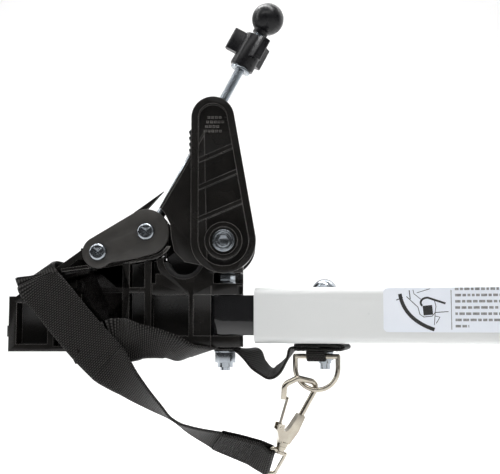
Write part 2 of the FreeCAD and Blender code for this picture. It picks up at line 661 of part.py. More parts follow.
def webbing(route, thick=WEB_THICK):
    return ribbon([(centre, across, WEBBING) for centre, across in route], thick)


def strap_lower():
    return webbing(LOWER_ROUTE).cut(post(3.1, -30, 0))


def strap_sewn_end():
    """The doubled, stitched end, closed round the eye bar of the snap hook."""
    top, low = (to_hitch(FreeCAD.Vector(*end)) for end in EYE_BAR)
    top, low = top + (low - top) * 0.18, low + (top - low) * 0.07
    stations = [(centre, across, WEBBING) for centre, across in SEWN_ROUTE]
    stations.append((tuple((top + low) * 0.5), tuple(top - low), (top - low).Length))
    band = ribbon(stations, 2 * WEB_THICK)
    bar = top - low
    sleeve = Part.makeCylinder(2.8, bar.Length, low, bar)
    bore = Part.makeCylinder(1.5, bar.Length + 8, low - bar.normalize() * 4, bar)
    return band.fuse(sleeve).cut(bore)


# ---- placing ------------------------------------------------------------------------------------------
def to_hitch(point):
    """A point of the bar's frame in the hitch's frame."""
    return FreeCAD.Rotation(at(0, 1), -HITCH_TURN).multVec(point)


def place_bar(shape):
    moved = shape.copy()
    moved.translate(at(-PIN_TO_KINGPIN, 0))
    return moved


def place_hitch(shape):
    moved = shape.copy()
    moved.rotate(at(0, 0), at(0, 1), HITCH_TURN)
    return place_bar(moved)


HITCH_NODES = {
    "jaw_body": jaw_body,
    "seat_pad": seat_pad,
    "link_plate_front": lambda: link_plate(-1),
    "link_plate_rear": lambda: link_plate(1),
    "rod_pin_screw": lambda: link_screw(ROD_PIN),
    "link_tail_screw": lambda: link_screw(LINK_TAIL),
    "rod_pin_nut": lambda: link_nut(ROD_PIN),
    "link_tail_nut": lambda: link_nut(LINK_TAIL),
    "rod_pin_sleeve": rod_sleeve,
    "eye_rod": eye_rod,
    "ball_knob": ball_knob,
    "knob_nut": knob_nut,
    "knob_insert": knob_insert,
    "thrust_washer": thrust_washer,
    "clamp_arm": clamp_arm,
    "arm_grip": arm_grip,
    "arm_bolt": arm_bolt,
    "arm_bolt_washer": arm_bolt_washer,
    "arm_sleeve": arm_sleeve,
    "arm_nut": arm_nut,
    "kingpin": kingpin,
    "kingpin_head_washer": lambda: washer(6.3, 3.05, LUG_TOP[1] + 0.05, 19.65),
    "kingpin_washer": lambda: washer(6.6, 3.05, -21.5, -20.1),
    "kingpin_nut": lambda: lock_nut(10.5, -30.2, -21.6, 2.6),
    "strap_lower_run": strap_lower,
    "strap_wrap": lambda: webbing(WRAP_ROUTE),
    "strap_tail": lambda: webbing(TAIL_ROUTE),
    "strap_sewn_end": strap_sewn_end,
}
BAR_NODES = {
    "tow_bar": tow_bar,
    "bar_label": bar_label,
    "flex_coupling": flex_coupling,
    "coupling_sleeve": coupling_sleeve,
    "bar_bolt": bar_bolt,
    "bar_bolt_washer": lambda: washer(4.9, 3.05, -21.6, -20.3, BAR_BOLT_X),
    "bar_bolt_nut": lambda: lock_nut(8.6, -27.2, -21.7, 1.6, BAR_BOLT_X),
    "strap_tab": strap_tab,
    "strap_slack": lambda: webbing(SLACK_ROUTE),
    "d_ring": d_ring,
    "snap_body": snap_body,
    "snap_gate": snap_gate,
    "gate_rivet": gate_rivet,
    "swivel_eye": swivel_eye,
}


def main():
    os.makedirs("parts", exist_ok=True)
    for nodes, place in ((HITCH_NODES, place_hitch), (BAR_NODES, place_bar)):
        for name, make in nodes.items():
            shape = place(make())
            if not shape.isValid() or shape.Volume <= 0:
                raise ValueError(f"{name} isn't a sound solid")
            shape.exportStep(f"parts/{name}.step")
            print(f"{name}: {len(shape.Solids)} solid, {shape.Volume:.0f} mm3")


main()
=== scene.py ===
import json
import math
import random

import bmesh
import bpy
from mathutils import Matrix, Vector


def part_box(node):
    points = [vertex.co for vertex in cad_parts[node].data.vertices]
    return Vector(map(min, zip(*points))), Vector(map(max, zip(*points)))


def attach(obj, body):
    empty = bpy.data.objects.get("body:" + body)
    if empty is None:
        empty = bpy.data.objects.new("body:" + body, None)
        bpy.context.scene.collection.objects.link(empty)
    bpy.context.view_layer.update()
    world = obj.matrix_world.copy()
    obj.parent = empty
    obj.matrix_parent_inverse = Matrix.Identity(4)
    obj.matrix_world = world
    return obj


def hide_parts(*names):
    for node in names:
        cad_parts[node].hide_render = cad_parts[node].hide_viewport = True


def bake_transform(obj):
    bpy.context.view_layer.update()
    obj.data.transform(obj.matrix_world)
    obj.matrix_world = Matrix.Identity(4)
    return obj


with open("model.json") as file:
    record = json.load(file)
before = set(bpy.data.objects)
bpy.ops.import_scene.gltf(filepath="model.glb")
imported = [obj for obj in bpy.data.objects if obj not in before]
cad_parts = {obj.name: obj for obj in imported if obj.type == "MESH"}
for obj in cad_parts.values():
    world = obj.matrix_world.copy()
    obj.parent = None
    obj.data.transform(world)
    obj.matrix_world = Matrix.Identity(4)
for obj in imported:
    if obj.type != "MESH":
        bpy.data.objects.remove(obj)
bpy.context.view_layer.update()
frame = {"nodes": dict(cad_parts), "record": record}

MM = 0.001
random.seed(7)

# ---- where things are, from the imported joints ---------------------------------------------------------
JOINTS = {j["name"]: j for j in frame["record"]["behaviour"]["joints"]}
KINGPIN = Vector(JOINTS["tow_yaw"]["pos_m"])
ACROSS = Vector(JOINTS["clamp_arm_swing"]["axis"]).normalized()      # the hitch's own y axis
FORWARD = ACROSS.cross(Vector((0, 0, 1))).normalized()               # the hitch's own x axis
ROD_PIN = Vector(JOINTS["rod_swing"]["pos_m"])
BALL = Vector(JOINTS["knob_spin"]["pos_m"])
ROD_DOWN = Vector(JOINTS["knob_travel"]["axis"]).normalized()
HITCH = Matrix((
    (FORWARD.x, ACROSS.x, 0, KINGPIN.x),
    (FORWARD.y, ACROSS.y, 0, KINGPIN.y),
    (0, 0, 1, KINGPIN.z),
    (0, 0, 0, 1),
))
BAR = Matrix.Translation(KINGPIN)


def hitch(x, y, z):
    """A point of the hitch's frame, in millimetres, in the row."""
    return HITCH @ (Vector((x, y, z)) * MM)


def bar(x, y, z):
    """A point of the bar's frame, in millimetres back from the kingpin, in the row."""
    return BAR @ (Vector((x, y, z)) * MM)


# ---- camera, light and floor --------------------------------------------------------------------------
EYE_BACK = 520.0
EYE_X = 14.6
EYE_Z = -2.2
FOCAL_WIDTHS = 1.747      # focal length over the picture's width
PICTURE_UP = 0.0942079    # how far the picture's middle is above the horizon, over the focal length
FLOOR_Z = -0.135


def add_camera():
    data = bpy.data.cameras.new("camera")
    data.sensor_width = 36.0
    data.lens = data.sensor_width * FOCAL_WIDTHS
    data.clip_start, data.clip_end = 0.01, 50
    cam = bpy.data.objects.new("camera", data)
    bpy.context.collection.objects.link(cam)
    cam.location = hitch(EYE_X, -EYE_BACK, EYE_Z)
    look = ACROSS + Vector((0, 0, PICTURE_UP))
    cam.rotation_mode = "QUATERNION"
    cam.rotation_quaternion = look.to_track_quat("-Z", "Y")
    bpy.context.scene.camera = cam


def area_light(name, place, target, size, power, tint=(1, 1, 1)):
    data = bpy.data.lights.new(name, "AREA")
    data.shape, data.size, data.size_y = "RECTANGLE", size[0], size[1]
    data.energy, data.color = power, tint
    lamp = bpy.data.objects.new(name, data)
    bpy.context.collection.objects.link(lamp)
    lamp.location = place
    lamp.rotation_mode = "QUATERNION"
    lamp.rotation_quaternion = (target - place).to_track_quat("-Z", "Y")


def studio_sky():
    """Pale light from behind and above, and a darker room in front, so black plastic stays black."""
    world = bpy.data.worlds.new("studio")
    world.use_nodes = True
    tree = world.node_tree
    way = tree.nodes.new("ShaderNodeTexCoord").outputs["Generated"]

    def share(direction, start, end, low, high):
        dot = tree.nodes.new("ShaderNodeVectorMath")
        dot.operation = "DOT_PRODUCT"
        tree.links.new(way, dot.inputs[0])
        dot.inputs[1].default_value = direction
        fade = tree.nodes.new("ShaderNodeMapRange")
        fade.interpolation_type = "SMOOTHSTEP"
        tree.links.new(dot.outputs["Value"], fade.inputs["Value"])
        for name, value in (("From Min", start), ("From Max", end), ("To Min", low), ("To Max", high)):
            fade.inputs[name].default_value = value
        return fade.outputs["Result"]

    both = tree.nodes.new("ShaderNodeMath")
    both.operation = "ADD"
    tree.links.new(share(ACROSS, -0.15, 0.5, 0.06, 0.8), both.inputs[0])
    tree.links.new(share((0, 0, 1), 0.25, 0.9, 0.0, 0.5), both.inputs[1])
    back = tree.nodes["Background"]
    back.inputs["Color"].default_value = (1.0, 1.0, 1.0, 1)
    tree.links.new(both.outputs[0], back.inputs["Strength"])
    bpy.context.scene.world = world


def add_room():
    """Pale walls that only the camera sees, so every view has the same plain background."""
    mat = bpy.data.materials.new("room_pale")
    mat.use_nodes = True
    shader = mat.node_tree.nodes["Principled BSDF"]
    shader.inputs["Base Color"].default_value = (0, 0, 0, 1)
    shader.inputs["Emission Color"].default_value = (1, 1, 1, 1)
    shader.inputs["Emission Strength"].default_value = 0.93
    bm = bmesh.new()
    bmesh.ops.create_uvsphere(bm, u_segments=48, v_segments=24, radius=2.6)
    mesh = bpy.data.meshes.new("room")
    bm.to_mesh(mesh)
    bm.free()
    mesh.materials.append(mat)
    room = bpy.data.objects.new("room", mesh)
    bpy.context.collection.objects.link(room)
    room.visible_diffuse = room.visible_glossy = room.visible_transmission = room.visible_shadow = False


def add_studio():
    middle = hitch(-20, 0, 40)
    area_light("key", hitch(-90, -400, 470), middle, (0.60, 0.12), 0.9)
    area_light("fill", hitch(480, -520, 150), middle, (0.5, 0.8), 0.3)
    area_light("rim_left", hitch(-520, -60, 420), middle, (0.14, 0.7), 1.6)
    area_light("rim_right", hitch(460, 260, 320), middle, (0.5, 0.6), 1.0)
    area_light("top", hitch(0, 20, 640), middle, (0.8, 0.12), 5.0)
    area_light("backdrop", hitch(0, 420, 900), hitch(0, 1500, 100), (1.6, 0.5), 27.0)
    bpy.context.scene.view_settings.view_transform = "Standard"
    studio_sky()
    add_room()
    mesh = bpy.data.meshes.new("floor")
    near, far, rise, wide = -1.6, 1.9, 1.6, 3.0
    profile = [(near, 0.0), (far - 0.6, 0.0)]
    profile += [(far - 0.6 + 0.6 * math.sin(a), 0.6 - 0.6 * math.cos(a))
                for a in [math.radians(9 * i) for i in range(1, 11)]]
    profile.append((far, rise))
    verts = []
    for back_by, up in profile:
        for side in (-wide, wide):
            spot = KINGPIN + ACROSS * back_by + FORWARD * side
            verts.append((spot.x, spot.y, FLOOR_Z + up))
    faces = [(2 * i, 2 * i + 1, 2 * i + 3, 2 * i + 2) for i in range(len(profile) - 1)]
    mesh.from_pydata(verts, [], faces)
    mesh.polygons.foreach_set("use_smooth", [True] * len(mesh.polygons))
    floor = bpy.data.objects.new("floor", mesh)
    bpy.context.collection.objects.link(floor)
    mat = bpy.data.materials.new("floor_white")
    mat.use_nodes = True
    shader = mat.node_tree.nodes["Principled BSDF"]
    shader.inputs["Base Color"].default_value = (0.86, 0.86, 0.86, 1)
    shader.inputs["Roughness"].default_value = 0.9
    mesh.materials.append(mat)


# ---- materials ----------------------------------------------------------------------------------------
class Recipe:
    """A principled material with a few helpers that chain procedural nodes."""

    def __init__(self, name, colour, roughness, metallic=0.0):
        self.mat = bpy.data.materials.new(name)
        self.mat.use_nodes = True
        self.tree = self.mat.node_tree
        self.shader = self.tree.nodes["Principled BSDF"]
        self.set("Base Color", (*colour, 1))
        self.set("Roughness", roughness)
        self.set("Metallic", metallic)

    def set(self, socket, value):
        self.shader.inputs[socket].default_value = value

    def node(self, kind, **inputs):
        made = self.tree.nodes.new(kind)
        for key, value in inputs.items():
            socket = made.inputs[key.replace("_", " ").title()]
            if isinstance(value, bpy.types.NodeSocket):
                self.tree.links.new(value, socket)
            else:
                socket.default_value = value
        return made

    def maths(self, operation, a, b=0.0):
        made = self.tree.nodes.new("ShaderNodeMath")
        made.operation = operation
        for socket, value in zip(made.inputs, (a, b)):
            if isinstance(value, bpy.types.NodeSocket):
                self.tree.links.new(value, socket)
            else:
                socket.default_value = value
        return made.outputs[0]

    def place(self, which="Object"):
        return self.tree.nodes.new("ShaderNodeTexCoord").outputs[which]

    def noise(self, scale, detail=3.0):
        made = self.node("ShaderNodeTexNoise", Vector=self.place(), Scale=scale, Detail=detail)
        return made.outputs["Fac"]

    def ramp(self, fac, *stops):
        made = self.node("ShaderNodeValToRGB", Fac=fac)
        band = made.color_ramp
        while len(band.elements) < len(stops):
            band.elements.new(0.5)
        for element, (spot, colour) in zip(band.elements, stops):
            element.position = spot
            element.color = (*colour, 1) if hasattr(colour, "__len__") else (colour,) * 3 + (1,)
        return made.outputs["Color"]

    def link(self, output, socket):
        self.tree.links.new(output, self.shader.inputs[socket])

    def bump(self, height, distance, strength=1.0):
        made = self.node("ShaderNodeBump", Height=height, Distance=distance, Strength=strength)
        self.link(made.outputs["Normal"], "Normal")



def paint_edge_highlight(r, dark, light, width):
    """Mottled colour with a painted highlight along the edges, where light would catch them on a glossy
    moulding.
    """
    rounded = r.node("ShaderNodeBevel", Radius=width)
    rounded.samples = 6
    plain = r.tree.nodes.new("ShaderNodeNewGeometry").outputs["Normal"]
    dot = r.tree.nodes.new("ShaderNodeVectorMath")
    dot.operation = "DOT_PRODUCT"
    r.tree.links.new(rounded.outputs["Normal"], dot.inputs[0])
    r.tree.links.new(plain, dot.inputs[1])
    bend = r.maths("SUBTRACT", 1.0, dot.outputs["Value"])
    edge = r.maths("MULTIPLY", bend, r.maths("ADD", r.noise(60, 4), 0.5))
    mix = r.tree.nodes.new("ShaderNodeMix")
    mix.data_type = "RGBA"
    # the edge mask mixes in the lighter colour: a painted highlight along the edges, not wear
    r.tree.links.new(r.ramp(edge, (0.03, 0.0), (0.28, 1.0)), mix.inputs["Factor"])
    r.tree.links.new(dark, mix.inputs["A"])
    r.tree.links.new(light, mix.inputs["B"])
    r.link(mix.outputs["Result"], "Base Color")


def moulded_nylon():
    r = Recipe("moulded_nylon", (0.008, 0.0075, 0.007), 0.4)
    face = r.ramp(r.noise(90, 6), (0.35, (0.0055, 0.005, 0.0045)), (0.7, (0.0115, 0.0105, 0.0095)))
    # lighter colour for the painted highlight along the moulding's edges
    edge_highlight = r.ramp(r.noise(30, 3), (0.3, (0.11, 0.105, 0.10)), (0.7, (0.24, 0.23, 0.22)))
    paint_edge_highlight(r, face, edge_highlight, 0.9 * MM)
    r.link(r.ramp(r.noise(38, 4), (0.3, 0.20), (0.75, 0.30)), "Roughness")
    grain = r.noise(2600, 2)
    r.bump(grain, 0.00006, 0.2)
    r.set("Specular IOR Level", 0.34)
    return r.mat


def satin_knob():
    r = Recipe("black_knob", (0.008, 0.008, 0.009), 0.3)
    r.link(r.ramp(r.noise(300, 3), (0.3, 0.24), (0.7, 0.34)), "Roughness")
    r.bump(r.noise(1800, 2), 0.00006, 0.15)
    r.set("Specular IOR Level", 0.22)
    return r.mat


def rubber():
    r = Recipe("rubber", (0.014, 0.014, 0.015), 0.8)
    r.bump(r.noise(3200, 3), 0.00015, 0.5)
    r.link(r.ramp(r.noise(60, 4), (0.3, 0.010), (0.7, 0.022)), "Base Color")
    return r.mat


def urethane():
    r = Recipe("urethane", (0.010, 0.010, 0.011), 0.16)
    r.link(r.ramp(r.noise(70, 2), (0.3, 0.07), (0.8, 0.13)), "Roughness")
    r.bump(r.noise(140, 2), 0.0002, 0.08)
    r.set("Coat Weight", 0.9)
    r.set("Coat Roughness", 0.04)
    return r.mat


def plated(name, colour, low, high, grain=900.0):
    r = Recipe(name, colour, 0.25, 1.0)
    fine = r.noise(grain, 4)
    r.link(r.ramp(fine, (0.3, low), (0.7, high)), "Roughness")
    shade = r.noise(160, 3)
    dark = tuple(c * 0.78 for c in colour)
    r.link(r.ramp(shade, (0.35, dark), (0.65, colour)), "Base Color")
    r.bump(fine, 0.00004, 0.25)
    return r.mat


def black_steel():
    r = Recipe("black_steel", (0.032, 0.030, 0.027), 0.5)
    r.link(r.ramp(r.noise(120, 5), (0.3, (0.026, 0.0245, 0.022)), (0.7, (0.039, 0.036, 0.033))), "Base Color")
    r.link(r.ramp(r.noise(420, 4), (0.3, 0.36), (0.7, 0.5)), "Roughness")
    r.bump(r.noise(1500, 3), 0.00008, 0.3)
    return r.mat


def white_coat():
    r = Recipe("white_coat", (0.80, 0.81, 0.80), 0.3)
    r.link(r.ramp(r.noise(26, 4), (0.3, (0.69, 0.705, 0.70)), (0.7, (0.715, 0.725, 0.72))), "Base Color")
    r.bump(r.noise(1100, 2), 0.00003, 0.1)
    r.link(r.ramp(r.noise(60, 2), (0.3, 0.27), (0.7, 0.33)), "Roughness")
    r.set("Coat Weight", 0.25)
    r.set("Coat Roughness", 0.12)
    return r.mat


def label_film():
    r = Recipe("label_film", (0.80, 0.84, 0.90), 0.28)
    r.link(r.ramp(r.noise(40, 2), (0.3, (0.79, 0.83, 0.90)), (0.7, (0.82, 0.85, 0.91))), "Base Color")
    r.bump(r.noise(500, 2), 0.00003, 0.15)
    return r.mat


def label_ink(name, grey):
    r = Recipe(name, (grey, grey, grey * 1.15), 0.4)
    r.link(r.ramp(r.noise(900, 3), (0.3, grey * 0.8), (0.7, grey * 1.6)), "Base Color")
    return r.mat


def webbing_cloth(name, dark, light):
    """Nylon webbing, from the UV in metres: ribs across the strap, with staggered picks as small dashes."""
    r = Recipe(name, dark, 0.6)
    split = r.node("ShaderNodeSeparateXYZ", Vector=r.place("UV"))
    across, along = split.outputs["X"], split.outputs["Y"]
    rib, pick = 1.12 * MM, 1.7 * MM
    wander = r.noise(700, 3)
    drift = r.maths("ADD", along, r.maths("MULTIPLY", r.maths("SUBTRACT", wander, 0.5), 0.35 * MM))
    ridge = r.maths("SINE", r.maths("MULTIPLY", drift, 2 * math.pi / rib))
    row = r.maths("FLOOR", r.maths("DIVIDE", drift, rib))
    shifted = r.maths("ADD", across, r.maths("MULTIPLY", row, pick * 0.5))
    dash = r.maths("SINE", r.maths("MULTIPLY", shifted, 2 * math.pi / pick))
    height = r.maths("ADD", r.maths("MULTIPLY", ridge, 0.30), r.maths("MULTIPLY", dash, 0.20))
    height = r.maths("ADD", r.maths("ADD", height, 0.5), r.maths("MULTIPLY", wander, 0.12))
    # the colour follows the weave's height: painted shade in the grooves and a painted highlight on the ridges
    r.link(r.ramp(height, (0.45, dark), (1.0, light)), "Base Color")
    r.link(r.ramp(wander, (0.3, 0.5), (0.7, 0.68)), "Roughness")
    r.bump(height, 0.00030, 1.0)
    r.set("Sheen Weight", 0.08)
    r.set("Sheen Roughness", 0.4)
    r.set("Specular IOR Level", 0.08)
    return r.mat


def thread_yarn():
    r = Recipe("stitch_yarn", (0.012, 0.012, 0.013), 0.6)
    r.bump(r.noise(2400, 2), 0.0001, 0.5)
    r.link(r.ramp(r.noise(700, 2), (0.3, 0.007), (0.7, 0.02)), "Base Color")
    return r.mat


# ---- mesh helpers -------------------------------------------------------------------------------------
def add_object(name, mesh, material):
    mesh.materials.clear()
    mesh.materials.append(material)
    obj = bpy.data.objects.new(name, mesh)
    bpy.context.collection.objects.link(obj)
    return obj


def smooth_by_angle(mesh, degrees=32.0):
    bm = bmesh.new()
    bm.from_mesh(mesh)
    limit = math.radians(degrees)
    for face in bm.faces:
        face.smooth = True
    for edge in bm.edges:
        edge.smooth = len(edge.link_faces) == 2 and edge.calc_face_angle(0) < limit
    bm.to_mesh(mesh)
    bm.free()


def softened(node, width, material, segments=2):
    """The CAD node's own shape with its edges rounded, standing for the node."""
    source = frame["nodes"][node]
    source = bpy.data.objects[source] if isinstance(source, str) else source
    bm = bmesh.new()
    bm.from_mesh(source.data)
    bmesh.ops.remove_doubles(bm, verts=bm.verts, dist=0.002 * MM)
    bmesh.ops.dissolve_limit(bm, angle_limit=math.radians(0.6), verts=bm.verts, edges=bm.edges)
    mesh = bpy.data.meshes.new(f"{node}_moulded")
    bm.to_mesh(mesh)
    bm.free()
    obj = add_object(f"{node}_finished", mesh, material)
    bevel = obj.modifiers.new("edges", "BEVEL")
    bevel.width, bevel.segments = width * MM, segments
    bevel.limit_method, bevel.angle_limit = "ANGLE", math.radians(34)
    bevel.use_clamp_overlap = True
    bevel.miter_outer = "MITER_ARC"
    graph = bpy.context.evaluated_depsgraph_get()
    final = bpy.data.meshes.new_from_object(obj.evaluated_get(graph))
    obj.modifiers.clear()
    obj.data = final
    smooth_by_angle(final)
    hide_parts(node)
    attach(obj, body_of_node(node))
    return obj


def body_of_node(node):
    for body, nodes in frame["record"]["behaviour"]["bodies"].items():
        if node in nodes:
            return body
    raise KeyError(node)


def catmull(points, steps, before=None, after=None):
    """Points along a smooth line through the given ones, heading as if from before and on to after."""
    before = before or points[0] * 2 - points[1]
    after = after or points[-1] * 2 - points[-2]
    ends = [before, *points, after]
    line = []
    for a, b, c, d in zip(ends, ends[1:], ends[2:], ends[3:]):
        for i in range(steps):
            t = i / steps
            line.append(0.5 * (
                b * 2 + (c - a) * t + (a * 2 - b * 5 + c * 4 - d) * t ** 2
                + (b * 3 - a - c * 3 + d) * t ** 3
            ))
    return line + [points[-1]]


# ---- strap --------------------------------------------------------------------------------------------
WEB_WIDTH = 25.4
WEB_THICK = 1.5
Y_WIDE = (0, 1, 0)


WRAP_ROUTE = [
    ((-65.6, -17.3, -15.2), (-0.35, 0, 0.94)),
    ((-70.4, -17.6, -18.8), (-0.88, 0, 0.47)),
    ((-72.0, -16.8, -22.2), (-1, 0, 0.05)),
    ((-73.6, -12.5, -23.4), (-1, 0, 0)),
    ((-79.2, 12.5, -23.4), (-1, 0, 0)),
    ((-81.0, 16.8, -22.2), (-1, 0, -0.1)),
    ((-83.2, 17.7, -18.6), (-0.93, 0, -0.36)),
    ((-92.0, 17.4, -4.0), (-0.86, 0, -0.5)),
    ((-102.5, 17.3, 12.5), (-0.83, 0, -0.56)),
    ((-106.8, 16.9, 21.6), (-0.811, 0, -0.585)),
    ((-107.4, 13.0, 24.2), (-0.811, 0, -0.585)),
    ((-108.2, -13.0, 24.2), (-0.811, 0, -0.585)),
    ((-108.1, -17.0, 21.6), (-0.811, 0, -0.585)),
    ((-106.2, -18.4, 17.8), (-0.79, 0, -0.61)),
    ((-99.0, -19.1, 9.8), (-0.78, 0, -0.62)),
    ((-89.9, -19.3, -1.2), (-0.77, 0, -0.64)),
    ((-82.0, -19.5, -10.4), (-0.745, 0, -0.665)),
    ((-74.8, -19.8, -18.2), (-0.72, 0, -0.69)),
    ((-66.6, -20.4, -26.4), (-0.70, 0.08, -0.71)),
]
TAIL_ROUTE = [
    ((-66.5, -20.4, -26.5), (0.70, -0.08, 0.71)),
    ((-60.7, -21.0, -32.1), (0.62, -0.42, 0.66)),
    ((-54.0, -21.2, -38.3), (0.50, -0.68, 0.54)),
    ((-46.8, -21.0, -44.6), (0.38, -0.82, 0.43)),
    ((-38.0, -20.7, -51.6), (0.22, -0.93, 0.28)),
    ((-28.7, -20.2, -58.7), (0.06, -0.99, 0.13)),
    ((-18.0, -19.4, -64.6), (0.10, -0.95, 0.28)),
    ((-4.1, -18.0, -70.0), (0.17, -0.84, 0.51)),
]
SEWN_ROUTE = [
    ((-4.0, -18.0, -70.05), (0.17, -0.84, 0.51)),
    ((6.0, -16.4, -73.5), (0.18, -0.79, 0.58)),
    ((17.0, -14.6, -77.5), (0.184, -0.74, 0.64)),
]
LOWER_ROUTE = [
    ((8.0, 0.0, -19.25), (0.1, -0.99, 0)),
    ((-7.4, -1.6, -19.3), (0.22, -0.97, 0)),
    ((-14.0, -7.5, -21.4), (0.34, -0.91, 0.16)),
    ((-22.0, -15.2, -21.6), (0.26, -0.88, 0.40)),
    ((-30.0, -19.6, -18.4), (0.14, -0.80, 0.58)),
    ((-38.0, -21.4, -16.2), (0.05, -0.72, 0.69)),
    ((-46.0, -21.8, -15.0), (0, -0.62, 0.78)),
    ((-52.0, -20.4, -14.4), (0, -0.40, 0.92)),
    ((-58.0, -18.3, -14.2), (0, -0.06, 1)),
    ((-64.2, -17.3, -14.6), (-0.2, 0, 0.98)),
]
SLACK_ROUTE = [
    ((8.12, 2.17, -19.25), (-0.353, 0.93, 0)),
    ((15.0, 0.6, -21.6), (0.15, 0.95, 0.18)),
    ((20.2, 0.0, -28.6), (0.0, 0.96, 0.24)),
    ((26.8, 0.0, -33.2), (-0.20, 0.96, 0.20)),
    ((32.6, 0.0, -31.2), (-0.20, 0.96, 0.18)),
    ((38.0, 0.0, -24.4), (-0.12, 0.98, 0.10)),
    ((40.8, 0.0, -19.4), (-0.04, 1, 0)),
    ((43.2, 0.0, -18.2), Y_WIDE),
]
STEPS_A_SPAN = 12
STEPS_ACROSS = 14
ROUND_THE_BAR = 12      # steps of the quarter turn round the eye's bar


def strap_frames(route, place, steps=STEPS_A_SPAN, before=None, after=None):
    """Centre, direction across and normal at even steps along a strap's route, in the row.

    before and after are the spots of the webbing's neighbouring stretches, so the stretches meet squarely."""
    centres = [place(*centre) for centre, _ in route]
    origin = place(0, 0, 0)
    sides = [(place(*across) - origin).normalized() for _, across in route]
    before = place(*before) if before else centres[0] * 2 - centres[1]
    after = place(*after) if after else centres[-1] * 2 - centres[-2]
    line, across = catmull(centres, steps, before, after), catmull(sides, steps)
    frames = []
    for i, (centre, side) in enumerate(zip(line, across)):
        if i == 0:
            ahead = centres[1] - before
        elif i == len(line) - 1:
            ahead = after - centres[-2]
        else:
            ahead = line[i + 1] - line[i - 1]
        side = (side - ahead * (side.dot(ahead) / ahead.length_squared)).normalized()
        frames.append((centre, side, ahead.cross(side).normalized()))
    return frames


def strap_mesh(name, frames, material, thick=WEB_THICK, width=WEB_WIDTH, cup=0.25):
    """Webbing with rounded, slightly thicker selvages, with UVs in metres across and along."""
    bm = bmesh.new()
    uv = bm.loops.layers.uv.new("weave")
    rings, lengths, run = [], [], 0.0
    half = width / 2
    for i, (centre, side, normal) in enumerate(frames):
        if i:
            run += (centre - frames[i - 1][0]).length
        lengths.append(run)
        top, low = [], []
        for k in range(STEPS_ACROSS + 1):
            u = -1 + 2 * k / STEPS_ACROSS
            body = math.sqrt(max(0.0, 1 - max(0.0, (abs(u) * half - half + 0.7) / 0.7) ** 2))
            rim = 1.0 + 0.16 * math.exp(-((abs(u) * half - half + 1.3) / 0.8) ** 2)
            lift = thick / 2 * rim * max(body, 0.05)
            bow = cup * (u * u - 0.4)
            flat = centre + side * (u * half * MM)
            top.append(bm.verts.new(flat + normal * ((bow + lift) * MM)))
            low.append(bm.verts.new(flat + normal * ((bow - lift) * MM)))
        rings.append(top + low[::-1])
    count = len(rings[0])
    for i in range(len(rings) - 1):
        for k in range(count):
            n = (k + 1) % count
            face = bm.faces.new((rings[i][k], rings[i][n], rings[i + 1][n], rings[i + 1][k]))
            face.smooth = True
            for loop, (ring, spot) in zip(face.loops, ((i, k), (i, n), (i + 1, n), (i + 1, k))):
                wide = min(spot, count - 1 - spot) / STEPS_ACROSS
                loop[uv].uv = (wide * width * MM, lengths[ring])
    for ring, at_length in ((rings[0][::-1], 0.0), (rings[-1], run)):
        face = bm.faces.new(ring)
        for loop in face.loops:
            loop[uv].uv = (0.0, at_length)
    bmesh.ops.recalc_face_normals(bm, faces=bm.faces)
    mesh = bpy.data.meshes.new(name)
    bm.to_mesh(mesh)
    bm.free()
    obj = add_object(name, mesh, material)
    return obj, run


def stitch_row(bm, frames, start, end, offset_start, offset_end, height, pitch=2.3):
    """Small raised stitches between two places (0 to 1 along, millimetres across) of a strap."""
    def spot(t, across):
        where = t * (len(frames) - 1)
        i = min(int(where), len(frames) - 2)
        mix = where - i
        centre = frames[i][0].lerp(frames[i + 1][0], mix)
        side = frames[i][1].lerp(frames[i + 1][1], mix).normalized()
        normal = frames[i][2].lerp(frames[i + 1][2], mix).normalized()
        return centre + side * (across * MM), normal

    first, _ = spot(start, offset_start)
    last, _ = spot(end, offset_end)
    count = max(2, round((last - first).length / (pitch * MM)))
    for k in range(count):
        ends = []
        for share in ((k + 0.12) / count, (k + 0.86) / count):
            t = start + (end - start) * share
            across = offset_start + (offset_end - offset_start) * share
            ends.append(spot(t, across))
        (a, normal), (b, _) = ends
        for face in (1, -1):
            capsule(bm, a + normal * (face * height * MM), b + normal * (face * height * MM), 0.34 * MM)


def capsule(bm, a, b, radius, rings=6, around=7):
    """A short thread, fattest in the middle."""
    along = b - a
    side = along.orthogonal().normalized()
    up = along.cross(side).normalized()
    loops = []
    for i in range(rings + 1):
        t = i / rings
        r = radius * math.sqrt(max(0.02, 1 - (2 * t - 1) ** 4))
        loops.append([
            bm.verts.new(a + along * t + (side * math.cos(w) + up * math.sin(w)) * r)
            for w in [2 * math.pi * k / around for k in range(around)]
        ])
    for lower, upper in zip(loops, loops[1:]):
        for k in range(around):
            n = (k + 1) % around
            bm.faces.new((lower[k], lower[n], upper[n], upper[k])).smooth = True
    bm.faces.new(loops[0][::-1])
    bm.faces.new(loops[-1])


def mesh_piece(name, bm, material, body):
    mesh = bpy.data.meshes.new(name)
    bmesh.ops.recalc_face_normals(bm, faces=bm.faces)
    bm.to_mesh(mesh)
    bm.free()
    obj = add_object(name, mesh, material)
    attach(obj, body)
    return obj


def add_straps(cloth, yarn):
    frames = strap_frames(WRAP_ROUTE, hitch, before=LOWER_ROUTE[-2][0], after=TAIL_ROUTE[1][0])
    wrap, long = strap_mesh("strap_wrap_webbing", frames, cloth)
    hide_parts("strap_wrap")
    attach(wrap, "hitch")

    frames = strap_frames(LOWER_ROUTE, hitch, after=WRAP_ROUTE[1][0])
    lower, long = strap_mesh("strap_lower_webbing", frames, cloth, cup=0.12)
    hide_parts("strap_lower_run")
    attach(lower, "hitch")

    frames = strap_frames(TAIL_ROUTE, hitch, before=WRAP_ROUTE[-2][0], after=SEWN_ROUTE[1][0])
    tail, long = strap_mesh("strap_tail_webbing", frames, cloth, cup=0.4)
    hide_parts("strap_tail")
    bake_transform(tail)

    slack, long = strap_mesh("strap_slack_webbing", strap_frames(SLACK_ROUTE, bar), cloth)
    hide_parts("strap_slack")
    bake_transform(slack)

    add_sewn_end(cloth, yarn)
    add_tab(cloth, yarn)


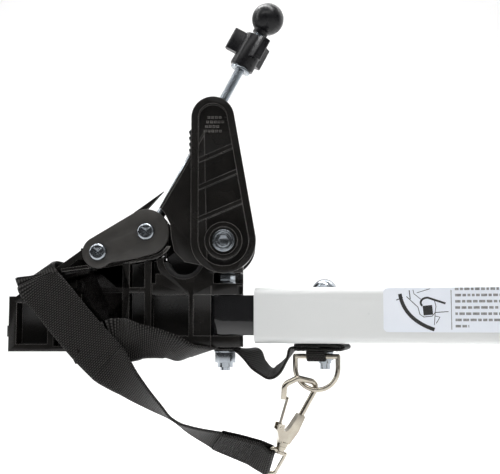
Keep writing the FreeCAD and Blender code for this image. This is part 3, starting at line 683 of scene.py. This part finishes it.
EYE_BAR = ((32.0, -16.4, -72.4), (22.4, 3.2, -91.1))   # bar the strap's end is sewn round, in the bar's frame


def add_sewn_end(cloth, yarn):
    """Two stitched layers that go round the eye's bar and back."""
    top, foot = (bar(*end) for end in EYE_BAR)
    middle, bar_way = (foot + top) / 2, (top - foot).normalized()
    frames = strap_frames(SEWN_ROUTE, hitch, 10, before=TAIL_ROUTE[-2][0])
    start, side, normal = frames[-1]
    if side.dot(bar_way) < 0:
        bar_way = -bar_way
    layer, reach = 0.95, 2.35      # each layer's offset, and its distance from the bar's middle
    for face, name in ((1, "strap_sewn_front"), (-1, "strap_sewn_rear")):
        path = [(c + n * (face * layer * MM), s, n * face) for c, s, n in frames]
        travel = middle - start
        travel -= bar_way * travel.dot(bar_way)
        forward = travel.normalized()
        out = forward.cross(bar_way).normalized()
        if out.dot(normal * face) < 0:
            out = -out
        for i in range(1, ROUND_THE_BAR + 1):
            turn = math.pi / 2 * i / ROUND_THE_BAR
            away = out * math.cos(turn) + forward * math.sin(turn)
            spot = middle + away * (reach * MM)
            if i == 1:
                path.append((path[-1][0].lerp(spot, 0.5), (side + bar_way).normalized(), out))
            path.append((spot, bar_way, away.normalized()))
        piece, long = strap_mesh(name, path, cloth, thick=1.45, width=WEB_WIDTH - 1.0, cup=0.0)
        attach(piece, "tow_bar")
        if face == 1:
            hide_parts("strap_sewn_end")
    bm = bmesh.new()
    height = layer + 0.78
    edge = WEB_WIDTH / 2 - 3.0
    for offset in (edge, -edge):
        stitch_row(bm, frames, 0.06, 0.96, offset, offset, height)
    for t in (0.06, 0.96):
        stitch_row(bm, frames, t, t + 0.001, edge, -edge, height)
    zigs = 8
    for k in range(zigs):
        a, b = 0.08 + 0.86 * k / zigs, 0.08 + 0.86 * (k + 1) / zigs
        flip = edge - 1.4 if k % 2 else -edge + 1.4
        stitch_row(bm, frames, a, b, flip, -flip, height, 2.1)
    mesh_piece("strap_stitching", bm, yarn, "tow_bar")


def add_tab(cloth, yarn):
    """Two layers of webbing clamped under the bar, and a short loop that holds the ring's straight side."""
    low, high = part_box("strap_tab")
    start, end, top = low[0] + 0.4 * MM, high[0] - 2.2 * MM, high[2]
    route = [(start, top - 3.2 * MM), (end - 3 * MM, top - 3.2 * MM), (end, top - 3.0 * MM),
             (end + 1.25 * MM, top - 2.05 * MM), (end, top - 1.1 * MM), (end - 3 * MM, top - 0.95 * MM),
             (start, top - 0.95 * MM)]
    line = catmull([Vector((x, 0, z)) for x, z in route], 8)
    frames = []
    for i, spot in enumerate(line):
        ahead = line[min(i + 1, len(line) - 1)] - line[max(i - 1, 0)]
        side = Vector((0, 1, 0))
        frames.append((spot, side, ahead.cross(side).normalized()))
    tab, long = strap_mesh("strap_tab_webbing", frames, cloth, thick=1.5, cup=0.0)
    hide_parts("strap_tab")
    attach(tab, "tow_bar")

    ring_low, ring_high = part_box("d_ring")
    x, y = (ring_low[0] + ring_high[0]) / 2, (ring_low[1] + ring_high[1]) / 2
    z = ring_high[2] - 1.4 * MM
    turns = [Vector((x, y + 2.3 * MM * math.cos(a), z + 2.3 * MM * math.sin(a)))
             for a in [math.radians(140 - 20 * i) for i in range(14)]]
    first, last = (Vector((x, y + across * MM, top - 4.3 * MM)) for across in (-3.0, 3.0))
    turns = [first, *turns[::-1], last]
    line = catmull(turns, 3)
    frames = []
    for i, spot in enumerate(line):
        ahead = line[min(i + 1, len(line) - 1)] - line[max(i - 1, 0)]
        side = Vector((1, 0, 0))
        frames.append((spot, side, ahead.cross(side).normalized()))
    loop, long = strap_mesh("ring_loop_webbing", frames, cloth, thick=1.1, width=11.0, cup=0.0)
    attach(loop, "tow_bar")

    frames = []
    for i in range(12):
        spot = Vector((start + (end - start) * i / 11, 0, top - 2.1 * MM))
        frames.append((spot, Vector((0, 1, 0)), Vector((0, 0, 1))))
    bm = bmesh.new()
    for offset in (10.2, -10.2):
        stitch_row(bm, frames, 0.05, 0.95, offset, offset, 1.8)
    for t in (0.05, 0.12, 0.88, 0.95):
        stitch_row(bm, frames, t, t + 0.001, 10.0, -10.0, 1.8)
    mesh_piece("tab_stitching", bm, yarn, "tow_bar")


# ---- threads ------------------------------------------------------------------------------------------
def add_thread(name, start, way, long, crest, root, pitch, material, body, around=28, per_turn=8):
    """A screw thread as one closed skin round the line from start along way, all in millimetres."""
    side = way.orthogonal().normalized()
    up = way.cross(side)
    bm = bmesh.new()
    rows = int(long / pitch * per_turn)
    rings = []
    for i in range(rows + 1):
        z = long * i / rows
        fade = min(1.0, z / pitch, (long - z) / pitch)
        ring = []
        for k in range(around):
            turn = k / around
            phase = (z / pitch - turn) % 1.0
            tooth = 1 - abs(2 * phase - 1)
            tooth = min(1.0, max(0.0, tooth * 1.25 - 0.12))
            r = root + (crest - root) * tooth * fade
            a = 2 * math.pi * turn
            out = side * math.cos(a) + up * math.sin(a)
            ring.append(bm.verts.new(start + way * (z * MM) + out * (r * MM)))
        rings.append(ring)
    for lower, upper in zip(rings, rings[1:]):
        for k in range(around):
            n = (k + 1) % around
            bm.faces.new((lower[k], lower[n], upper[n], upper[k])).smooth = True
    bm.faces.new(rings[0][::-1])
    bm.faces.new(rings[-1])
    return mesh_piece(name, bm, material, body)


# ---- finished pieces ----------------------------------------------------------------------------------
def finish_metal(materials):
    """Steel and nickel nodes keep their CAD meshes' shape, with small rounded edges."""
    zinc, nickel, dark = materials["zinc"], materials["nickel"], materials["black_steel"]
    for node in ("rod_pin_screw", "link_tail_screw", "arm_bolt"):
        softened(node, 0.25, zinc)
    for node in ("rod_pin_nut", "link_tail_nut", "arm_nut", "kingpin_head_washer", "kingpin_washer",
                 "kingpin_nut", "bar_bolt_washer", "bar_bolt_nut", "thrust_washer", "arm_bolt_washer",
                 "kingpin", "bar_bolt"):
        softened(node, 0.3, zinc)
    for node in ("link_plate_front", "link_plate_rear"):
        softened(node, 0.35, dark)
    for node in ("d_ring", "snap_body", "snap_gate", "gate_rivet", "swivel_eye"):
        softened(node, 0.12, nickel, segments=1)


def add_rod(zinc):
    """The threaded rod and its eye, standing for the plain rod."""
    long = (BALL - ROD_PIN).length / MM
    thread = add_thread("rod_thread", BALL + ROD_DOWN * (6 * MM), ROD_DOWN, 96.0, 2.98, 2.42, 1.0,
                        zinc, "eye_rod")
    bm = bmesh.new()
    around, shank, eye_r = 40, 2.72, 7.0
    side, up = ACROSS, ROD_DOWN.cross(ACROSS)
    rings = []
    for z, r in ((100.5, 2.2), (101.5, shank), (long - 14.0, shank), (long - 9.0, 3.0), (long - 5.5, 3.6)):
        rings.append([
            bm.verts.new(BALL + ROD_DOWN * (z * MM)
                         + (side * math.cos(a) + up * math.sin(a)) * (r * MM))
            for a in [2 * math.pi * k / around for k in range(around)]
        ])
    for lower, upper in zip(rings, rings[1:]):
        for k in range(around):
            n = (k + 1) % around
            bm.faces.new((lower[k], lower[n], upper[n], upper[k])).smooth = True
    bm.faces.new(rings[0][::-1])
    bm.faces.new(rings[-1])
    mesh_piece("rod_shank", bm, zinc, "eye_rod")
    bm = bmesh.new()
    profile = [(3.6, -3.7), (4.1, -4.0), (6.4, -4.0), (6.85, -3.6), (eye_r, -3.0), (eye_r, 3.0), (6.85, 3.6),
               (6.4, 4.0), (4.1, 4.0), (3.6, 3.7)]
    turned(bm, ROD_PIN, ACROSS, profile, 56)
    eye = mesh_piece("rod_eye", bm, zinc, "eye_rod")
    smooth_by_angle(eye.data)
    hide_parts("eye_rod")


def turned(bm, centre, axis, profile, around):
    """A closed ring turned round an axis from (radius, along) points in millimetres."""
    side = axis.orthogonal().normalized()
    up = axis.cross(side)
    rings = []
    for k in range(around):
        a = 2 * math.pi * k / around
        out = side * math.cos(a) + up * math.sin(a)
        rings.append([bm.verts.new(centre + out * (r * MM) + axis * (z * MM)) for r, z in profile])
    for k in range(around):
        here, there = rings[k], rings[(k + 1) % around]
        for i in range(len(profile)):
            j = (i + 1) % len(profile)
            bm.faces.new((here[i], here[j], there[j], there[i]))


def strip(bm, points, width, normal, lift):
    """A flat stroke of even width along points that lie on a plane."""
    edges = []
    for i, point in enumerate(points):
        ahead = (points[min(i + 1, len(points) - 1)] - points[max(i - 1, 0)]).normalized()
        side = ahead.cross(normal).normalized() * (width / 2 * MM)
        edges.append((bm.verts.new(point + side + normal * lift), bm.verts.new(point - side + normal * lift)))
    for (a, b), (c, d) in zip(edges, edges[1:]):
        bm.faces.new((a, b, d, c))


def add_label_art(ink, faint):
    """A strap's curve, a hook, a block and thin strokes on the label, and rows of plain bars; no lettering."""
    low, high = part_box("bar_label")
    front, normal, lift = low[1], Vector((0, -1, 0)), 0.00003
    wide, tall = high[0] - low[0], high[2] - low[2]

    def on(u, v):
        return Vector((low[0] + u * wide, front, low[2] + v * tall))

    bm = bmesh.new()
    panel = 0.36
    sweep = [i / 16 for i in range(17)]
    strap = [on(0.09 + 0.04 * t + 0.14 * t * t, 0.86 - 1.15 * t + 0.35 * t * t) for t in sweep]
    strip(bm, strap, 2.0, normal, lift)
    bow = [math.radians(220 - 9 * i) for i in range(16)]
    hook = [on(0.235 + 0.035 * math.cos(a), 0.66 + 0.11 * math.sin(a)) for a in bow]
    strip(bm, hook + [on(0.33, 0.64)], 1.1, normal, lift)
    strokes = [
        (5.2, [(0.212, 0.48), (0.262, 0.50)]),
        (0.5, [(0.07, 0.72), (0.105, 0.78)]),
        (0.4, [(0.125, 0.80), (0.16, 0.66), (0.185, 0.56), (0.195, 0.40), (0.215, 0.34), (0.26, 0.36),
               (0.275, 0.44), (0.345, 0.46)]),
        (0.35, [(0.27, 0.74), (0.28, 0.58), (0.275, 0.44), (0.27, 0.16)]),
        (0.4, [(0.275, 0.36), (0.30, 0.34), (0.28, 0.20)]),
        (0.5, [(0.14, 0.94), (0.145, 0.74)]),
        (0.35, [(0.16, 0.95), (0.165, 0.86), (0.20, 0.74)]),
        (0.35, [(0.18, 0.88), (0.25, 0.97)]),
    ]
    for width, spots in strokes:
        strip(bm, [on(*spot) for spot in spots], width, normal, lift)
    mesh_piece("label_picture", bm, ink, "tow_bar")

    bm = bmesh.new()
    strip(bm, [on(panel, 0.06), on(panel, 0.94)], 0.4, normal, lift)
    for row in range(7):
        v = 0.96 - 0.137 * row
        end = 0.45 if row == 6 else 0.60 if row == 3 else 0.975
        u = panel + 0.02
        while u < end:
            word = random.uniform(0.012, 0.035)
            strip(bm, [on(u, v), on(min(u + word, end), v)], 1.35, normal, lift)
            u += word + 0.007
    mesh_piece("label_bars", bm, faint, "tow_bar")


def add_arm_marks(nylon):
    """Short raised ticks where a moulded mark would be, with nothing to read."""
    bm = bmesh.new()
    for row in range(4):
        for tick in range(5 - row % 2):
            x, z = -11.5 + 2.2 * tick + 0.7 * row, 107.0 + 2.7 * row
            centre = hitch(x, -19.0, z)
            corners = [(-0.8, -0.75), (0.8, -0.75), (0.8, 0.75), (-0.8, 0.75)]
            base = [bm.verts.new(centre + FORWARD * (a * MM) + Vector((0, 0, b * MM))) for a, b in corners]
            proud = centre - ACROSS * (0.35 * MM)
            cap = [bm.verts.new(proud + FORWARD * (a * 0.7 * MM) + Vector((0, 0, b * 0.7 * MM)))
                   for a, b in corners]
            bm.faces.new(cap)
            bm.faces.new(base[::-1])
            for i in range(4):
                j = (i + 1) % 4
                bm.faces.new((base[i], base[j], cap[j], cap[i]))
    mesh_piece("arm_mould_ticks", bm, nylon, "clamp_arm")


def main():
    add_camera()
    add_studio()
    cloth = webbing_cloth("webbing", (0.0020, 0.0018, 0.0016), (0.052, 0.050, 0.048))
    yarn = thread_yarn()
    nylon = moulded_nylon()
    zinc = plated("zinc_steel", (0.34, 0.37, 0.40), 0.14, 0.26)
    nickel = plated("nickel", (0.48, 0.44, 0.37), 0.10, 0.20, 500.0)
    dark = black_steel()
    add_straps(cloth, yarn)
    softened("jaw_body", 0.7, nylon)
    softened("clamp_arm", 0.8, nylon, 3)
    softened("knob_nut", 0.6, satin_knob(), 3)
    softened("ball_knob", 0.2, satin_knob())
    softened("arm_grip", 0.3, rubber())
    softened("seat_pad", 0.3, rubber())
    softened("flex_coupling", 1.6, urethane(), 3)
    softened("tow_bar", 0.3, white_coat())
    softened("bar_label", 0.08, label_film(), 1)
    finish_metal({"zinc": zinc, "nickel": nickel, "black_steel": dark})
    for node in ("rod_pin_sleeve", "arm_sleeve", "coupling_sleeve", "knob_insert"):
        softened(node, 0.2, zinc)
    add_rod(zinc)
    add_label_art(label_ink("label_ink", 0.02), label_ink("label_faint_ink", 0.22))
    add_arm_marks(nylon)


main()
